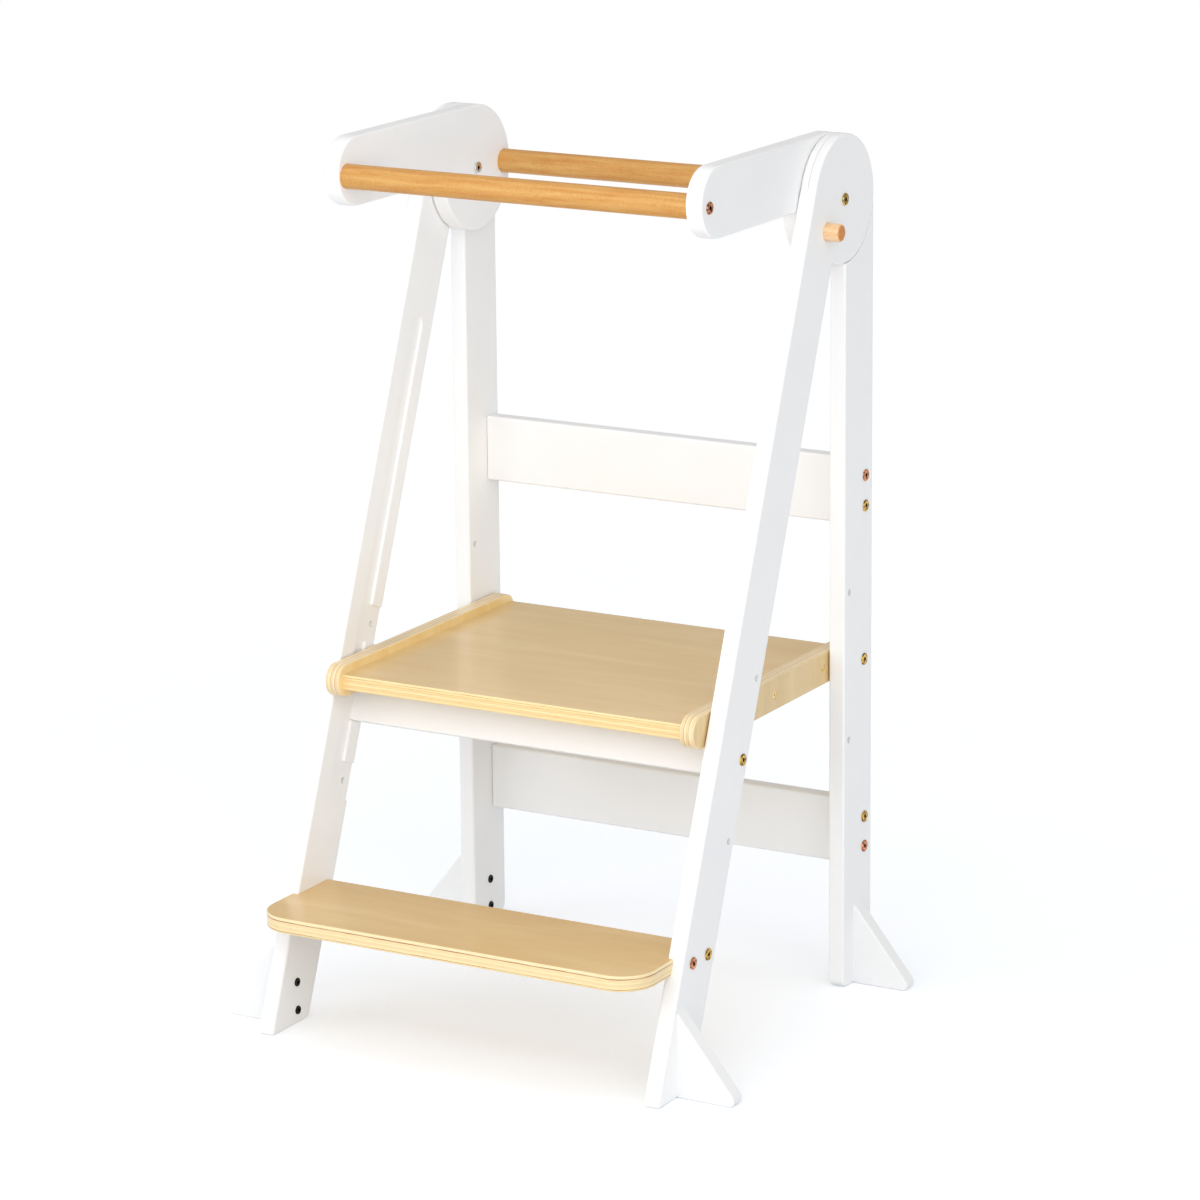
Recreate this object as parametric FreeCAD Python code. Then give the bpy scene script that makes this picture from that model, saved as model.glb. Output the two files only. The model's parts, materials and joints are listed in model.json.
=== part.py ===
import FreeCAD, Part
import math
import os

# A folding kitchen helper stool for toddlers: rear and front legs that turn on one pivot, a plywood step, a
# plywood platform that swings up, and a handrail of two guard arms and two dowels.
#
# Millimetres. +Z is up, the child climbs in from -Y, and +X is on the right of someone who looks along +Y.
# The origin is on the floor, in the middle of the stool's bounding box.

os.makedirs("parts", exist_ok=True)

# ---- Driving dimensions -----------------------------------------------------------------------------------

# Legs and their round heads
pivot_height = 834.0            # main pivot above the floor
head_radius = 66.0              # round head of every leg and guard arm
leg_width = 64.0                # across a leg's broad face
leg_thickness = 18.0
leg_spread = 465.0              # over the outer faces of the legs
front_leg_slant = 21.35         # degrees from upright
leg_corner_radius = 10.0        # corners of the legs at the floor
toe_corner_radius = 3.0         # sharp front corner of a front leg
board_edge_round = 2.5          # eased edges of the painted boards
lap_gap = 0.4                   # between the two half-lapped heads
lap_clearance = 0.35            # between a head and the shoulder round it

# Main pivot
pivot_sleeve_diameter = 10.2
pivot_running_fit = 0.1         # on the radius, in the pieces that turn
pivot_head_gap = 0.25           # between the pivot's heads and the pieces that turn
pivot_bolt_grip = 20.0          # bolt length inside the sleeve nut
pivot_washer_diameter = 26.0
pivot_washer_thickness = 0.3
arm_gap = 0.2                   # between the washer and the guard arm

# Lock pegs
peg_diameter = 18.2
peg_clearance = 0.3             # on the radius
peg_forward = 38.5              # ahead of the pivot
peg_below = 27.2                # below the pivot
peg_stand_out = 16.5            # beyond the leg's outer face
peg_end_round = 3.0
peg_end_gap = 0.4               # between the peg and the lap's inner face

# Back rails
back_rail_height = 70.0
back_rail_thickness = 18.0
back_rail_setback = 8.0         # from the rear edge of the rear legs
upper_rail_centre = 524.5       # above the floor
lower_rail_centre = 159.5
back_rail_bolt_spacing = 32.0

# Foot plates
foot_reach = 62.0               # beyond the leg's outer face
foot_height = 87.0
foot_thickness = 18.0
foot_nose_height = 9.0
foot_nose_radius = 5.0
foot_edge_round = 1.5
front_foot_setback = 38.8       # plate's front face behind the front leg's toe
foot_bolt_low = 14.0            # above the floor
foot_bolt_spacing = 30.0

# Platform
standing_height = 353.5         # top of the platform board
ply_thickness = 16.0
ply_edge_round = 1.2
side_rail_height = 34.0
side_rail_lip = 9.5             # side rail above the board
side_rail_play = 1.5            # between a side rail and a leg
side_rail_reach = 24.4          # beyond the front legs' front edge
board_front_setback = 9.0       # board behind the side rails' front ends
board_rear_setback = 4.7
hinge_inset = 18.8              # platform hinge ahead of the rear legs' rear edge
hinge_shank_diameter = 8.0
hinge_running_fit = 0.1         # on the radius
hinge_end_gap = 0.4             # past the bolt's end in its blind hole
hinge_bolt_grip = 13.0          # bolt length inside the side rail
hinge_washer_diameter = 18.0
hinge_washer_gap = 0.3          # between the washer and the side rail
first_platform_screw = 111.3    # behind the guide pin
platform_screw_spacing = 107.0
guide_pin_diameter = 9.0
guide_pin_stand_out = 1.1       # beyond the side rail
guide_pin_seat = 8.0            # depth in the side rail
guide_pin_tail_diameter = 5.0
guide_pin_tail_length = 26.0

# Crossbar, its three recesses in each front leg and the groove that joins them
crossbar_height = 38.5
crossbar_thickness = 18.0
crossbar_setback = 2.0          # from the front legs' rear edge
crossbar_edge_round = 2.0
crossbar_drop = 0.3             # below the side rails
crossbar_bolt_inset = 12.0      # bolt ahead of the front legs' rear edge
height_step = 81.75             # between recesses, along the leg
recess_depth = 3.0
recess_play = 0.25              # above and below the crossbar
groove_width = 20.0
groove_depth = 3.0
groove_top = 166.0              # below the pivot, along the leg

# Spare holes for the platform's other heights
spare_hole_diameter = 7.0
spare_hinge_step = 78.5
spare_hinge_inset = 11.3        # behind the rear legs' front edge

# Step
step_height = 136.5             # top of the step
step_overhang = 72.5            # beyond the front legs' front edge
step_rear_inset = 12.2          # ahead of the front legs' rear edge
step_ear = 6.5                  # step wider than the space between the legs, each side
step_ear_gap = 0.3              # between an ear and the leg's front edge
step_corner_radius = 36.0
step_bolt_inset = 21.5          # front bolt behind the leg's front edge
step_bolt_spacing = 31.0

# Handrail
arm_thickness = 18.0
arm_reach = 267.0               # ahead of the pivot
arm_drop = 5.0                  # lower edge of the arm's bar below the pivot
dowel_diameter = 25.0
front_dowel_inset = 16.0        # behind the arm's tip
front_dowel_drop = 38.0         # below the arm's top edge
rear_dowel_inset = 13.0         # ahead of the rear edge of the arm's head

# Fasteners
bolt_head_diameter = 12.5
bolt_head_height = 1.4
bolt_head_chamfer = 0.5
bolt_shank_diameter = 6.0
bolt_hole_diameter = 6.4
bolt_grip = 18.0                # bolt length inside its insert
hex_socket_width = 4.0          # across the flats
hex_socket_depth = 1.1
insert_diameter = 10.0
insert_length = 22.0
foot_bolt_head_diameter = 9.0
screw_head_diameter = 10.0
screw_head_height = 3.0
screw_shank_diameter = 4.0
screw_length = 34.0
screw_sink = 0.8                # screw head below the surface
screw_slot_length = 4.4
screw_slot_width = 0.9
screw_slot_depth = 1.4

# ---- Sizes worked out from the driving dimensions -----------------------------------------------------------

cut_reach = 2000.0              # a cutting length beyond the whole stool
same_plane = 0.001              # how flat an edge has to lie to count as in a plane
SIDES = {"left": -1, "right": 1}

slant = math.radians(front_leg_slant)
leg_outer = leg_spread / 2
leg_inner = leg_outer - leg_thickness
lap_middle = leg_outer - leg_thickness / 2
arm_outer = leg_inner - pivot_washer_thickness - arm_gap
arm_inner = arm_outer - arm_thickness
side_rail_outer = leg_inner - side_rail_play
side_rail_inner = side_rail_outer - ply_thickness
pivot_bore = pivot_sleeve_diameter + 2 * pivot_running_fit
peg_bore = peg_diameter + 2 * peg_clearance

# Lines along a front leg, measured forwards from the line through the pivot
front_line = head_radius
back_line = head_radius - leg_width
crossbar_back_line = back_line + crossbar_setback
crossbar_front_line = crossbar_back_line + crossbar_thickness
crossbar_bolt_line = back_line + crossbar_bolt_inset
groove_line = crossbar_front_line + groove_width / 2


def along_leg(line, height):
    """How far below the pivot a line along the front leg meets a height above the floor, along the leg."""
    return (pivot_height + line * math.sin(slant) - height) / math.cos(slant)


def leg_forward(line, height):
    """How far ahead of the pivot a line along the front leg meets a height above the floor."""
    return along_leg(line, height) * math.sin(slant) + line * math.cos(slant)


step_front = leg_forward(front_line, step_height) + step_overhang
pivot_y = (step_front - head_radius) / 2
PIVOT = FreeCAD.Vector(0, pivot_y, pivot_height)
X_AXIS = FreeCAD.Vector(1, 0, 0)
Y_AXIS = FreeCAD.Vector(0, 1, 0)
Z_AXIS = FreeCAD.Vector(0, 0, 1)


def leg_point(along, line):
    """(y, z) of a point on the slanted front leg."""
    y = pivot_y - along * math.sin(slant) - line * math.cos(slant)
    z = pivot_height - along * math.cos(slant) + line * math.sin(slant)
    return y, z


# ---- Shape helpers ------------------------------------------------------------------------------------------


def save(name, shapes):
    """Writes one node: a solid, or a group of separate solids."""
    group = shapes if isinstance(shapes, list) else [shapes]
    solids = [solid for shape in group for solid in shape.Solids]
    node = solids[0] if len(solids) == 1 else Part.Compound(solids)
    node.exportStep(f"parts/{name}.step")
    print(f"{name:24s} {len(solids):2d} solid(s) {node.Volume / 1000:9.2f} cm3  valid {node.isValid()}")


def box(low, high):
    """A box between two corners."""
    size = [end - start for start, end in zip(low, high)]
    return Part.makeBox(*size, FreeCAD.Vector(*low))


def rod(diameter, x_from, x_to, place):
    """A round bar along X through a place (y, z)."""
    start = FreeCAD.Vector(min(x_from, x_to), *place)
    return Part.makeCylinder(diameter / 2, abs(x_to - x_from), start, X_AXIS)


def rounded_face(corners, to_point):
    """A flat face from corners (a, b, radius); to_point turns a flat point into one in space."""
    arcs = []
    for index, (a, b, radius) in enumerate(corners):
        here = FreeCAD.Vector(a, b, 0)
        before = FreeCAD.Vector(*corners[index - 1][:2], 0)
        after = FreeCAD.Vector(*corners[(index + 1) % len(corners)][:2], 0)
        to_before = (before - here).normalize()
        to_after = (after - here).normalize()
        half_angle = to_before.getAngle(to_after) / 2
        setback = radius / math.tan(half_angle)
        bisector = (to_before + to_after).normalize()
        middle = here + bisector * (radius / math.sin(half_angle) - radius)
        arcs.append((here + to_before * setback, middle, here + to_after * setback))
    edges = []
    for index, (start, middle, end) in enumerate(arcs):
        previous_end = arcs[index - 1][2]
        if (start - previous_end).Length > same_plane:
            edges.append(Part.LineSegment(to_point(previous_end), to_point(start)).toShape())
        if (end - start).Length > same_plane:
            edges.append(Part.Arc(to_point(start), to_point(middle), to_point(end)).toShape())
    return Part.Face(Part.Wire(Part.__sortEdges__(edges)))


def side_plate(corners, x_from, x_to):
    """A board that stands in the YZ plane, from corners (y, z, radius), between two X values."""
    low = min(x_from, x_to)
    face = rounded_face(corners, lambda point: FreeCAD.Vector(low, point.x, point.y))
    return face.extrude(X_AXIS * abs(x_to - x_from))


def edge_lengths(edge):
    """The size of an edge's bounding box along X, Y and Z."""
    bounds = edge.BoundBox
    return FreeCAD.Vector(bounds.XLength, bounds.YLength, bounds.ZLength)


def rims(solid, axis):
    """The edges that lie square to an axis, such as those round a board's two broad faces."""
    return [edge for edge in solid.Edges if edge_lengths(edge).dot(axis) < same_plane]


def drill(solid, side, places, diameter):
    """Drills holes along X through everything on one side of the stool."""
    for place in places:
        solid = solid.cut(rod(diameter, side, side * cut_reach, place))
    return solid


def flat_head_bolt(direction, face_x, place, head_diameter, shank_diameter, length):
    """A hex socket bolt: the head stands on face_x towards direction (1 or -1), the shank goes the other way."""
    origin = (0, 0)
    head = rod(head_diameter, 0, bolt_head_height, origin)
    top_rim = [edge for edge in rims(head, X_AXIS) if edge.BoundBox.XMin > bolt_head_height / 2]
    head = head.makeChamfer(bolt_head_chamfer, top_rim)
    corner_radius = hex_socket_width / math.sqrt(3)
    hexagon = []
    for index in range(6):
        angle = index * math.pi / 3
        hexagon.append((corner_radius * math.cos(angle), corner_radius * math.sin(angle), 0))
    head = head.cut(side_plate(hexagon, bolt_head_height - hex_socket_depth, bolt_head_height + hex_socket_depth))
    bolt = head.fuse(rod(shank_diameter, -length, 0, origin)).removeSplitter()
    if direction < 0:
        bolt.rotate(FreeCAD.Vector(0, 0, 0), Z_AXIS, 180)
    bolt.translate(FreeCAD.Vector(face_x, *place))
    return bolt


def insert_bore(direction, face_x, place):
    """The hole that an insert fills; it opens at face_x towards direction."""
    return rod(insert_diameter, face_x, face_x - direction * insert_length, place)


def insert(direction, face_x, place):
    """A threaded insert with its mouth at face_x towards direction."""
    thread = rod(bolt_shank_diameter, face_x, face_x - direction * bolt_grip, place)
    return insert_bore(direction, face_x, place).cut(thread)


def bolted_joint(direction, head_face_x, board, place, head_diameter=bolt_head_diameter):
    """A bolt through a board and the insert behind it."""
    bolt = flat_head_bolt(
        direction, head_face_x, place, head_diameter, bolt_shank_diameter, board + bolt_grip)
    return bolt, insert(direction, head_face_x - direction * board, place)


def bolts_and_inserts(direction, head_face_x, board, places, head_diameter=bolt_head_diameter):
    """The same bolted joints on both sides. direction 1 puts the heads outside, -1 inside."""
    bolts = []
    inserts = []
    for side in SIDES.values():
        for place in places:
            bolt, nut = bolted_joint(side * direction, side * head_face_x, board, place, head_diameter)
            bolts.append(bolt)
            inserts.append(nut)
    return bolts, inserts


def screw_body(side, face_x, place):
    """A countersunk wood screw without its slots, sunk into a face from outside."""
    head_x = face_x - side * screw_sink
    cone_start = FreeCAD.Vector(head_x, *place)
    cone = Part.makeCone(
        screw_head_diameter / 2, screw_shank_diameter / 2, screw_head_height, cone_start, X_AXIS * -side)
    return cone.fuse(rod(screw_shank_diameter, head_x - side * screw_head_height, head_x - side * screw_length, place))


def screw_hole(side, face_x, place):
    """The hole that a wood screw fills, with the small sink above its head."""
    sink = rod(screw_head_diameter, face_x, face_x - side * screw_sink, place)
    return sink.fuse(screw_body(side, face_x, place))


def wood_screw(side, face_x, place):
    """A countersunk wood screw with a cross recess."""
    y, z = place
    head_x = face_x - side * screw_sink
    floor_x = head_x - side * screw_slot_depth
    low_x = min(head_x, floor_x)
    high_x = max(head_x, floor_x)
    across = screw_slot_length / 2
    width = screw_slot_width / 2
    screw = screw_body(side, face_x, place).removeSplitter()
    screw = screw.cut(box((low_x, y - across, z - width), (high_x, y + across, z + width)))
    return screw.cut(box((low_x, y - width, z - across), (high_x, y + width, z + across)))


def washer(diameter, hole, x_from, x_to, place):
    """A flat ring."""
    return rod(diameter, x_from, x_to, place).cut(rod(hole, x_from, x_to, place))


# ---- Places that several pieces share -------------------------------------------------------------------------

pivot_place = (pivot_y, pivot_height)
peg_place = (pivot_y - peg_forward, pivot_height - peg_below)

rear_edge_y = pivot_y + head_radius
rear_front_y = rear_edge_y - leg_width
rail_back_y = rear_edge_y - back_rail_setback
rail_front_y = rail_back_y - back_rail_thickness


def back_rail_places(centre):
    """Where one back rail's bolts are."""
    middle_y = (rail_front_y + rail_back_y) / 2
    return [(middle_y, centre + offset) for offset in (-back_rail_bolt_spacing / 2, back_rail_bolt_spacing / 2)]


all_back_rail_places = back_rail_places(upper_rail_centre) + back_rail_places(lower_rail_centre)

hinge_y = rear_edge_y - hinge_inset
hinge_height = standing_height + side_rail_lip - side_rail_height / 2
hinge_place = (hinge_y, hinge_height)
spare_hinge_y = rear_front_y + spare_hinge_inset
spare_hinge_places = [(spare_hinge_y, hinge_height + step) for step in (-spare_hinge_step, spare_hinge_step)]

foot_heights = (foot_bolt_low, foot_bolt_low + foot_bolt_spacing)
rear_foot_y = rear_edge_y - leg_width / 2
front_foot_y = pivot_y - leg_forward(front_line, 0) + front_foot_setback + foot_thickness / 2
rear_foot_places = [(rear_foot_y, height) for height in foot_heights]
front_foot_places = [(front_foot_y, height) for height in foot_heights]

side_rail_bottom = hinge_height - side_rail_height / 2
crossbar_top = along_leg(crossbar_front_line, side_rail_bottom - crossbar_drop)
crossbar_middle = crossbar_top + crossbar_height / 2
recess_middles = [crossbar_middle + step for step in (-height_step, 0, height_step)]
recess_half = crossbar_height / 2 + recess_play
recess_bolt_places = [leg_point(middle, crossbar_bolt_line) for middle in recess_middles]
crossbar_place = leg_point(crossbar_middle, crossbar_bolt_line)

step_middle = step_height - ply_thickness / 2
step_bolt_y = pivot_y - leg_forward(front_line, step_middle) + step_bolt_inset
step_places = [(step_bolt_y, step_middle), (step_bolt_y + step_bolt_spacing, step_middle)]

board_middle = standing_height - ply_thickness / 2
guide_pin_y = pivot_y - leg_forward(groove_line, board_middle)
guide_pin_place = (guide_pin_y, board_middle)
first_screw_y = guide_pin_y + first_platform_screw
platform_screw_places = [(first_screw_y + offset, board_middle) for offset in (0, platform_screw_spacing)]

front_dowel_place = (pivot_y - arm_reach + front_dowel_inset, pivot_height + head_radius - front_dowel_drop)
rear_dowel_place = (rear_edge_y - rear_dowel_inset, pivot_height)


# ---- Rear frame -------------------------------------------------------------------------------------------


def pivot_disc(radius, x_from, x_to):
    """A disc round the main pivot."""
    return rod(2 * radius, x_from, x_to, pivot_place)


def direction_in_side_view(angle):
    """A unit vector in the YZ plane; the angle is from +Y towards +Z."""
    return FreeCAD.Vector(0, math.cos(angle), math.sin(angle))


def peg_slot(side):
    """The curved slot in a rear leg's head that the peg follows while the front legs fold."""
    inside = side * lap_middle
    outside = side * leg_inner - side * leg_thickness
    distance = math.hypot(peg_forward, peg_below)
    start_angle = math.atan2(-peg_below, -peg_forward)
    end_angle = start_angle + slant
    ring = pivot_disc(distance + peg_bore / 2, inside, outside)
    ring = ring.cut(pivot_disc(distance - peg_bore / 2, inside, outside))
    corners = [(*pivot_place, 0)]
    for angle in (start_angle, end_angle):
        rim = PIVOT + direction_in_side_view(angle) * 2 * head_radius
        corners.append((rim.y, rim.z, 0))
    slot = ring.common(side_plate(corners, inside, outside))
    for angle in (start_angle, end_angle):
        end = PIVOT + direction_in_side_view(angle) * distance
        slot = slot.fuse(rod(peg_bore, inside, outside, (end.y, end.z)))
    return slot


def make_rear_leg(side):
    """An upright leg whose head keeps its inner half, with the outer half cut away for the front leg's head."""
    corners = [
        (rear_front_y, 0, leg_corner_radius),
        (rear_edge_y, 0, leg_corner_radius),
        (rear_edge_y, pivot_height, 0),
        (rear_front_y, pivot_height, 0),
    ]
    leg = side_plate(corners, side * leg_inner, side * leg_outer)
    leg = leg.fuse(pivot_disc(head_radius, side * leg_inner, side * leg_outer)).removeSplitter()
    leg = leg.makeFillet(board_edge_round, rims(leg, X_AXIS))
    lap_face = side * (lap_middle - lap_gap / 2)
    leg = leg.cut(pivot_disc(head_radius + lap_clearance, lap_face, side * cut_reach))
    leg = leg.cut(peg_slot(side))
    leg = drill(leg, side, [pivot_place], pivot_sleeve_diameter)
    leg = drill(leg, side, [hinge_place], hinge_shank_diameter)
    leg = drill(leg, side, spare_hinge_places, spare_hole_diameter)
    return drill(leg, side, all_back_rail_places + rear_foot_places, bolt_hole_diameter)


def make_back_rail(centre):
    """A board between the rear legs, with an insert's bore at each bolt."""
    half = back_rail_height / 2
    rail = box((-leg_inner, rail_front_y, centre - half), (leg_inner, rail_back_y, centre + half))
    rail = rail.makeFillet(board_edge_round, rail.Edges)
    for side in SIDES.values():
        for place in back_rail_places(centre):
            rail = rail.cut(insert_bore(side, side * leg_inner, place))
    return rail


def make_foot(side, middle_y, places):
    """A triangular outrigger plate that stands across a leg, on its outer face."""
    tip = leg_outer + foot_reach
    front_y = middle_y - foot_thickness / 2
    corners = [
        (side * leg_outer, 0, 0),
        (side * tip, 0, foot_nose_radius),
        (side * tip, foot_nose_height, foot_nose_radius),
        (side * leg_outer, foot_height, 0),
    ]
    face = rounded_face(corners, lambda point: FreeCAD.Vector(point.x, front_y, point.y))
    plate = face.extrude(Y_AXIS * foot_thickness)
    eased = []
    for edge in rims(plate, Y_AXIS):
        centre = edge.BoundBox.Center
        if abs(centre.z) > same_plane and abs(abs(centre.x) - leg_outer) > same_plane:
            eased.append(edge)
    plate = plate.makeFillet(foot_edge_round, eased)
    for place in places:
        plate = plate.cut(insert_bore(-side, side * leg_outer, place))
    return plate


def make_pivot(side):
    """The main pivot: a sleeve nut from inside, a bolt from outside and a spacer washer behind the arm."""
    bolt_face = side * (leg_outer + pivot_head_gap)
    nut_face = side * (arm_inner - pivot_head_gap)
    sleeve_length = leg_outer - arm_inner + pivot_head_gap
    bolt = flat_head_bolt(
        side, bolt_face, pivot_place, bolt_head_diameter, bolt_shank_diameter, pivot_bolt_grip)
    nut = flat_head_bolt(
        -side, nut_face, pivot_place, bolt_head_diameter, pivot_sleeve_diameter, sleeve_length)
    nut = nut.cut(rod(bolt_shank_diameter, bolt_face, bolt_face - side * pivot_bolt_grip, pivot_place))
    ring_inner = side * (leg_inner - pivot_washer_thickness)
    ring = washer(pivot_washer_diameter, pivot_sleeve_diameter, ring_inner, side * leg_inner, pivot_place)
    return bolt, nut, ring


def make_hinge(side):
    """The platform's hinge on one side: a shoulder bolt and a spacer washer."""
    length = leg_thickness + side_rail_play + hinge_bolt_grip
    bolt = flat_head_bolt(
        side, side * leg_outer, hinge_place, bolt_head_diameter, hinge_shank_diameter, length)
    ring_inner = side * (side_rail_outer + hinge_washer_gap)
    ring = washer(hinge_washer_diameter, hinge_shank_diameter, ring_inner, side * leg_inner, hinge_place)
    return bolt, ring


for side_name, side in SIDES.items():
    save(f"rear_leg_{side_name}", make_rear_leg(side))
    save(f"rear_foot_{side_name}", make_foot(side, rear_foot_y, rear_foot_places))
save("upper_back_rail", make_back_rail(upper_rail_centre))
save("lower_back_rail", make_back_rail(lower_rail_centre))

rail_bolts, rail_inserts = bolts_and_inserts(1, leg_outer, leg_thickness, all_back_rail_places)
save("back_rail_bolts", rail_bolts)
save("back_rail_inserts", rail_inserts)

foot_bolts, foot_inserts = bolts_and_inserts(
    -1, leg_inner, leg_thickness, rear_foot_places, foot_bolt_head_diameter)
save("rear_foot_bolts", foot_bolts)
save("rear_foot_inserts", foot_inserts)

pivots = [make_pivot(side) for side in SIDES.values()]
save("pivot_bolts", [bolt for bolt, nut, ring in pivots])
save("pivot_sleeve_nuts", [nut for bolt, nut, ring in pivots])
save("pivot_washers", [ring for bolt, nut, ring in pivots])

hinges = [make_hinge(side) for side in SIDES.values()]
save("platform_hinge_bolts", [bolt for bolt, ring in hinges])
save("platform_hinge_washers", [ring for bolt, ring in hinges])


# ---- Front frame ------------------------------------------------------------------------------------------


def make_front_leg(side):
    """A slanted leg whose head keeps its outer half, with the groove and recesses on its inner face."""
    corners = [
        (pivot_y - leg_forward(front_line, 0), 0, toe_corner_radius),
        (pivot_y - leg_forward(back_line, 0), 0, leg_corner_radius),
        (*leg_point(0, back_line), 0),
        (*leg_point(0, front_line), 0),
    ]
    leg = side_plate(corners, side * leg_inner, side * leg_outer)
    leg = leg.fuse(pivot_disc(head_radius, side * leg_inner, side * leg_outer)).removeSplitter()
    leg = leg.makeFillet(board_edge_round, rims(leg, X_AXIS))
    lap_face = side * (lap_middle + lap_gap / 2)
    leg = leg.cut(pivot_disc(head_radius + lap_clearance, lap_face, side))

    half_groove = groove_width / 2
    groove_bottom = recess_middles[-1] + recess_half
    groove_corners = [
        (*leg_point(groove_top, groove_line - half_groove), half_groove),
        (*leg_point(groove_top, groove_line + half_groove), half_groove),
        (*leg_point(groove_bottom, groove_line + half_groove), half_groove),
        (*leg_point(groove_bottom, groove_line - half_groove), 0),
    ]
    leg = leg.cut(side_plate(groove_corners, side, side * (leg_inner + groove_depth)))
    for middle in recess_middles:
        recess_corners = [
            (*leg_point(middle - recess_half, back_line - leg_width), 0),
            (*leg_point(middle - recess_half, groove_line), 0),
            (*leg_point(middle + recess_half, groove_line), 0),
            (*leg_point(middle + recess_half, back_line - leg_width), 0),
        ]
        leg = leg.cut(side_plate(recess_corners, side, side * (leg_inner + recess_depth)))

    leg = drill(leg, side, [pivot_place], pivot_bore)
    leg = drill(leg, side, [peg_place], peg_bore)
    leg = drill(leg, side, recess_bolt_places, spare_hole_diameter)
    return drill(leg, side, step_places + front_foot_places, bolt_hole_diameter)


def make_crossbar():
    """The slanted bar under the platform; its ends sit in the middle recesses."""
    corners = []
    ends = [(crossbar_top, crossbar_back_line), (crossbar_top, crossbar_front_line)]
    ends += [(crossbar_top + crossbar_height, line) for along, line in reversed(ends)]
    for along, line in ends:
        corners.append((*leg_point(along, line), crossbar_edge_round))
    half_length = leg_inner + recess_depth
    bar = side_plate(corners, -half_length, half_length)
    for side in SIDES.values():
        bar = bar.cut(insert_bore(side, side * half_length, crossbar_place))
    return bar


def make_step():
    """The step: a plywood board between the front legs, with ears in front of them."""
    half_width = leg_inner + step_ear
    front_y = pivot_y - step_front
    rear_y = pivot_y - leg_forward(back_line, step_height) - step_rear_inset
    bottom = step_height - ply_thickness
    corners = [
        (-half_width, front_y, step_corner_radius),
        (half_width, front_y, step_corner_radius),
        (half_width, rear_y, 0),
        (-half_width, rear_y, 0),
    ]
    face = rounded_face(corners, lambda point: FreeCAD.Vector(point.x, point.y, bottom))
    board = face.extrude(Z_AXIS * ply_thickness)
    board = board.makeFillet(ply_edge_round, rims(board, Z_AXIS))
    ear_line = front_line + step_ear_gap
    leg_corners = [
        (*leg_point(0, ear_line), 0),
        (*leg_point(cut_reach, ear_line), 0),
        (*leg_point(cut_reach, -cut_reach), 0),
        (*leg_point(0, -cut_reach), 0),
    ]
    for side in SIDES.values():
        board = board.cut(side_plate(leg_corners, side * leg_inner, side * cut_reach))
        for place in step_places:
            board = board.cut(insert_bore(side, side * leg_inner, place))
    return board


for side_name, side in SIDES.items():
    save(f"front_leg_{side_name}", make_front_leg(side))
    save(f"front_foot_{side_name}", make_foot(side, front_foot_y, front_foot_places))
save("crossbar", make_crossbar())
save("step", make_step())

step_bolts, step_inserts = bolts_and_inserts(1, leg_outer, leg_thickness, step_places)
save("step_bolts", step_bolts)
save("step_inserts", step_inserts)

crossbar_bolts, crossbar_inserts = bolts_and_inserts(
    1, leg_outer, leg_thickness - recess_depth, [crossbar_place])
save("crossbar_bolts", crossbar_bolts)
save("crossbar_inserts", crossbar_inserts)

foot_bolts, foot_inserts = bolts_and_inserts(
    -1, leg_inner, leg_thickness, front_foot_places, foot_bolt_head_diameter)
save("front_foot_bolts", foot_bolts)
save("front_foot_inserts", foot_inserts)


# ---- Platform ---------------------------------------------------------------------------------------------

side_rail_front_y = pivot_y - leg_forward(front_line, hinge_height) - side_rail_reach
side_rail_end = side_rail_height / 2


def make_side_rail(side):
    """A plywood rail with half-round ends; the rear end is round about the hinge."""
    front = side_rail_front_y
    rear = hinge_y + side_rail_end
    low = hinge_height - side_rail_end
    high = hinge_height + side_rail_end
    corners = [(front, low, side_rail_end), (rear, low, side_rail_end)]
    corners += [(rear, high, side_rail_end), (front, high, side_rail_end)]
    rail = side_plate(corners, side * side_rail_inner, side * side_rail_outer)
    rail = rail.makeFillet(ply_edge_round, rims(rail, X_AXIS))
    hinge_hole = hinge_shank_diameter + 2 * hinge_running_fit
    hinge_floor = side * (side_rail_outer - hinge_bolt_grip - hinge_end_gap)
    rail = rail.cut(rod(hinge_hole, hinge_floor, side * cut_reach, hinge_place))
    rail = rail.cut(guide_pin(side, side * cut_reach))
    for place in platform_screw_places:
        rail = rail.cut(screw_hole(side, side * side_rail_outer, place))
    return rail


def guide_pin(side, outer_end):
    """A stepped pin: a round head seated in the side rail and a tail in the board."""
    seat = side * (side_rail_outer - guide_pin_seat)
    head = rod(guide_pin_diameter, seat, outer_end, guide_pin_place)
    tail = rod(guide_pin_tail_diameter, seat, seat - side * guide_pin_tail_length, guide_pin_place)
    return head.fuse(tail).removeSplitter()


def make_platform_board():
    """The plywood board that the child stands on."""
    low = (-side_rail_inner, side_rail_front_y + board_front_setback, standing_height - ply_thickness)
    high = (side_rail_inner, hinge_y + side_rail_end - board_rear_setback, standing_height)
    board = box(low, high)
    across = [edge for edge in board.Edges if edge_lengths(edge).x > same_plane]
    board = board.makeFillet(ply_edge_round, across)
    for side in SIDES.values():
        board = board.cut(guide_pin(side, side * side_rail_outer))
        for place in platform_screw_places:
            board = board.cut(screw_body(side, side * side_rail_outer, place))
    return board


save("platform_board", make_platform_board())
for side_name, side in SIDES.items():
    save(f"side_rail_{side_name}", make_side_rail(side))
screws = []
pins = []
for side in SIDES.values():
    screws += [wood_screw(side, side * side_rail_outer, place) for place in platform_screw_places]
    pins.append(guide_pin(side, side * (side_rail_outer + guide_pin_stand_out)))
save("platform_screws", screws)
save("guide_pins", pins)


# ---- Handrail ---------------------------------------------------------------------------------------------


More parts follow.
